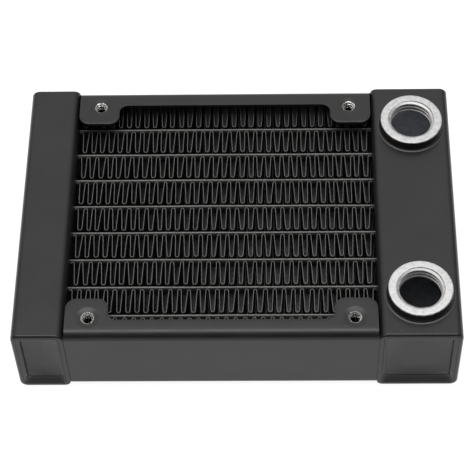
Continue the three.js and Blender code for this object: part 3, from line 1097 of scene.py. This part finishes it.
def powder_coat(name, metal, metallic, metal_roughness, raggedness):
    """Satin black powder coat with grain, orange peel and dusty specks, and metal where marked
    bare.
    """
    n = Nodes(name)
    mottle = n.noise(0.06, 3)
    colour = n.mix(n.ramp(mottle, 0.3, 0.7), PAINT_DARK, PAINT_LIGHT)
    # Real dust specks scattered on the coat.
    dust_and_painted_highlight = n.specks(5.0 * MM, 0.14 * MM, 0.30)
    colour = n.mix(n.math("MULTIPLY", dust_and_painted_highlight, 0.5), colour, PAINT_DUST)
    rough = n.ramp(n.noise(0.12, 4, 0.6), 0.3, 0.75, 0.29, 0.37)
    edge = n.math("MULTIPLY", n.math("SUBTRACT", n.noise(2.2, 2), 0.5), raggedness)
    bare = n.ramp(n.math("ADD", n.field("bare"), edge), -0.15, 0.15)
    stain = n.ramp(n.noise(0.5, 3, 0.6), 0.3, 0.7, 0.75, 1.0)
    shade_of_metal = n.mix(stain, (0.0, 0.0, 0.0), metal)
    colour = n.mix(bare, colour, shade_of_metal)
    n.join(n.math("MULTIPLY", bare, metallic), n.shader.inputs["Metallic"])
    n.join(colour, n.shader.inputs["Base Color"])
    n.join(n.blend(bare, rough, metal_roughness), n.shader.inputs["Roughness"])
    peel = n.bump(n.noise(0.55, 2), 0.012 * MM, 0.8)
    grain = n.bump(n.noise(3.2, 3), 0.006 * MM, 0.7, peel)
    n.join(grain, n.shader.inputs["Normal"])
    n.shader.inputs["IOR"].default_value = PAINT_IOR
    return n.material


def core_paint():
    """Thin black spray on the tubes and fins, with a painted highlight: lighter grey along the
    edges that face out.
    """
    n = Nodes("core_paint")
    mottle = n.noise(0.25, 3)
    colour = n.mix(n.ramp(mottle, 0.3, 0.7), CORE_DARK, CORE_LIGHT)
    # Painted highlight on the core's edges: lighter grey in patches of varying strength.
    wear_and_highlight_patches = n.ramp(n.noise(1.3, 3, 0.65), 0.25, 0.75, 0.6, 1.25)
    dust_and_painted_highlight = n.math("MULTIPLY", n.field("dust_and_painted_highlight"), wear_and_highlight_patches)
    colour = n.mix(dust_and_painted_highlight, colour, CORE_PAINTED_HIGHLIGHT)
    n.join(colour, n.shader.inputs["Base Color"])
    n.join(n.ramp(n.noise(0.8, 3), 0.3, 0.7, 0.30, 0.48), n.shader.inputs["Roughness"])
    n.join(n.bump(n.noise(4.0, 2), 0.010 * MM, 0.8), n.shader.inputs["Normal"])
    n.shader.inputs["IOR"].default_value = CORE_IOR
    return n.material


def port_metal():
    """Turned aluminium, bare on top and in the thread, black paint with a ragged edge outside."""
    n = Nodes("port_metal")
    blotch = n.noise(0.9, 3, 0.6)
    metal = n.mix(n.ramp(blotch, 0.3, 0.7), PORT_DULL, PORT_BRIGHT)
    scratch = n.ramp(n.noise(5.0, 2), 0.3, 0.7, 0.82, 1.0)
    metal = n.mix(scratch, PORT_SCRATCH, metal)
    stain = n.math("MULTIPLY", n.field("groove"), n.ramp(n.noise(0.35, 2), 0.4, 0.7, 0.2, 0.9))
    metal = n.mix(stain, metal, PORT_STAIN)
    ragged = n.math("MULTIPLY", n.math("SUBTRACT", n.noise(0.9, 4, 0.65), 0.5), 1.1)
    bare = n.ramp(n.math("ADD", n.field("bare"), ragged), -0.04, 0.04)
    flecks = n.specks(2.1 * MM, 0.30 * MM, 0.16)
    bare = n.math("MULTIPLY", bare, n.math("SUBTRACT", 1.0, flecks))
    rub = n.math("MULTIPLY", n.field("rub"), n.ramp(n.noise(1.6, 3, 0.6), 0.4, 0.6))
    paint = n.mix(rub, PAINT_DARK, PAINT_RUBBED)
    n.join(n.mix(bare, paint, metal), n.shader.inputs["Base Color"])
    n.join(bare, n.shader.inputs["Metallic"])
    rough = n.ramp(blotch, 0.3, 0.7, 0.45, 0.60)
    n.join(n.blend(bare, 0.33, rough), n.shader.inputs["Roughness"])
    n.join(n.bump(n.noise(3.0, 3), 0.012 * MM, 0.8), n.shader.inputs["Normal"])
    return n.material


def brazed_aluminium():
    """Dull, blotchy aluminium as it leaves the furnace."""
    n = Nodes("brazed_aluminium")
    blotch = n.noise(0.3, 4, 0.6)
    n.join(n.mix(blotch, BRAZED_DARK, BRAZED_LIGHT), n.shader.inputs["Base Color"])
    n.join(n.ramp(blotch, 0.3, 0.7, 0.45, 0.65), n.shader.inputs["Roughness"])
    n.join(n.bump(n.noise(2.0, 3), 0.02 * MM, 0.8), n.shader.inputs["Normal"])
    n.shader.inputs["Metallic"].default_value = 1.0
    return n.material


def floor_material():
    """Plain white paper, lit a little from within so that it stays pale in every view."""
    n = Nodes("pale_floor")
    cloud = n.noise(0.004, 2)
    n.join(n.mix(cloud, FLOOR_DARK, FLOOR_LIGHT), n.shader.inputs["Base Color"])
    n.shader.inputs["Roughness"].default_value = 0.9
    n.shader.inputs["Emission Color"].default_value = (1, 1, 1, 1)
    n.shader.inputs["Emission Strength"].default_value = FLOOR_GLOW
    return n.material


# ------------------------------------------------------------------ stage

CAMERA_PLACE = Vector((12.26, -287.251, 431.272)) * MM
CAMERA_PITCH = math.radians(55.609)
CAMERA_YAW = math.radians(-2.543)
CAMERA_ROLL = math.radians(2.409)
CAMERA_LENS = 135.95
FLOOR_HALF = 3.0
FLOOR_LEVEL = -0.03 * MM
TENT_AXIS = (-0.1, 0.45, 0.887)
TENT_EDGE = 0.22
TENT_CROWN = 0.97
TENT_DARK = 0.06
TENT_BRIGHT = 1.25


def add_camera():
    data = bpy.data.cameras.new("camera")
    data.lens = CAMERA_LENS
    data.sensor_width = 36.0
    data.clip_start = 0.01
    data.clip_end = 20.0
    camera = bpy.data.objects.new("camera", data)
    turn = (
        Matrix.Rotation(-CAMERA_YAW, 4, "Z")
        @ Matrix.Rotation(math.pi / 2 - CAMERA_PITCH, 4, "X")
        @ Matrix.Rotation(-CAMERA_ROLL, 4, "Z")
    )
    camera.matrix_world = Matrix.Translation(CAMERA_PLACE) @ turn
    bpy.context.scene.collection.objects.link(camera)
    bpy.context.scene.camera = camera


def add_floor():
    """A wide plane just under the tanks, clear enough of their faces not to flicker."""
    half, low = FLOOR_HALF, FLOOR_LEVEL
    verts = [(-half, -half, low), (half, -half, low), (half, half, low), (-half, half, low)]
    mesh = bpy.data.meshes.new("floor")
    mesh.from_pydata(verts, [], [(0, 1, 2, 3)])
    mesh.materials.append(floor_material())
    floor = bpy.data.objects.new("floor", mesh)
    bpy.context.scene.collection.objects.link(floor)


def add_softbox(name, place, aim, width, depth, power):
    data = bpy.data.lights.new(name, "AREA")
    data.shape = "RECTANGLE"
    data.size = width
    data.size_y = depth
    data.energy = power
    lamp = bpy.data.objects.new(name, data)
    lamp.location = place
    lamp.rotation_euler = (Vector(aim) - Vector(place)).to_track_quat("-Z", "Y").to_euler()
    bpy.context.scene.collection.objects.link(lamp)


def add_world():
    """A pale studio tent, brightest overhead and behind, and dark in front and at the horizon."""
    world = bpy.data.worlds.new("studio")
    world.use_nodes = True
    tree = world.node_tree
    background = tree.nodes["Background"]
    coordinates = tree.nodes.new("ShaderNodeTexCoord")
    towards = tree.nodes.new("ShaderNodeVectorMath")
    towards.operation = "DOT_PRODUCT"
    towards.inputs[1].default_value = TENT_AXIS
    tree.links.new(coordinates.outputs["Generated"], towards.inputs[0])
    ramp = tree.nodes.new("ShaderNodeMapRange")
    ramp.interpolation_type = "SMOOTHSTEP"
    ramp.inputs["From Min"].default_value = TENT_EDGE
    ramp.inputs["From Max"].default_value = TENT_CROWN
    ramp.inputs["To Min"].default_value = TENT_DARK
    ramp.inputs["To Max"].default_value = TENT_BRIGHT
    tree.links.new(towards.outputs["Value"], ramp.inputs["Value"])
    tree.links.new(ramp.outputs["Result"], background.inputs["Strength"])
    background.inputs["Color"].default_value = (1.0, 1.0, 1.0, 1.0)
    bpy.context.scene.world = world


def stage():
    add_camera()
    add_floor()
    add_world()
    add_softbox(
        "overhead", place=(0.0, 0.02, 0.9), aim=(0.0, 0.0, 0.0), width=0.9, depth=0.42, power=4.5
    )
    bpy.context.scene.view_settings.view_transform = "Standard"


# ------------------------------------------------------------------ assembly

TANK_COAT = powder_coat(
    "tank_coat", TANK_METAL, metallic=0.5, metal_roughness=0.45, raggedness=0.0
)
BRACKET_COAT = powder_coat(
    "bracket_coat", SCREW_METAL, metallic=1.0, metal_roughness=0.24, raggedness=2.4
)
CORE_PAINT = core_paint()
PORT_METAL = port_metal()
BRAZED_ALUMINIUM = brazed_aluminium()

stage()
tank_shell("return_tank_shell", 1)
tank_shell("port_tank_shell", -1, ("front_port_bush", "back_port_bush"))
for tank, header_side in (("return_tank", 1), ("port_tank", -1)):
    end_cap(f"{tank}_front_cap", f"{tank}_shell", -1, header_side)
    end_cap(f"{tank}_back_cap", f"{tank}_shell", 1, header_side)
divider("port_tank_divider")
port_bush("front_port_bush", None)
port_bush("back_port_bush", 232)
for index in range(1, TUBE_COUNT + 1):
    flat_tube(f"flat_tube_{index}", index)
for index in range(1, TUBE_COUNT + 2):
    bracket_side = {1: -1, TUBE_COUNT + 1: 1}.get(index, 0)
    fin_strip(f"fin_strip_{index}", index, bracket_side)
bracket("front_bracket", -1)
bracket("back_bracket", 1)
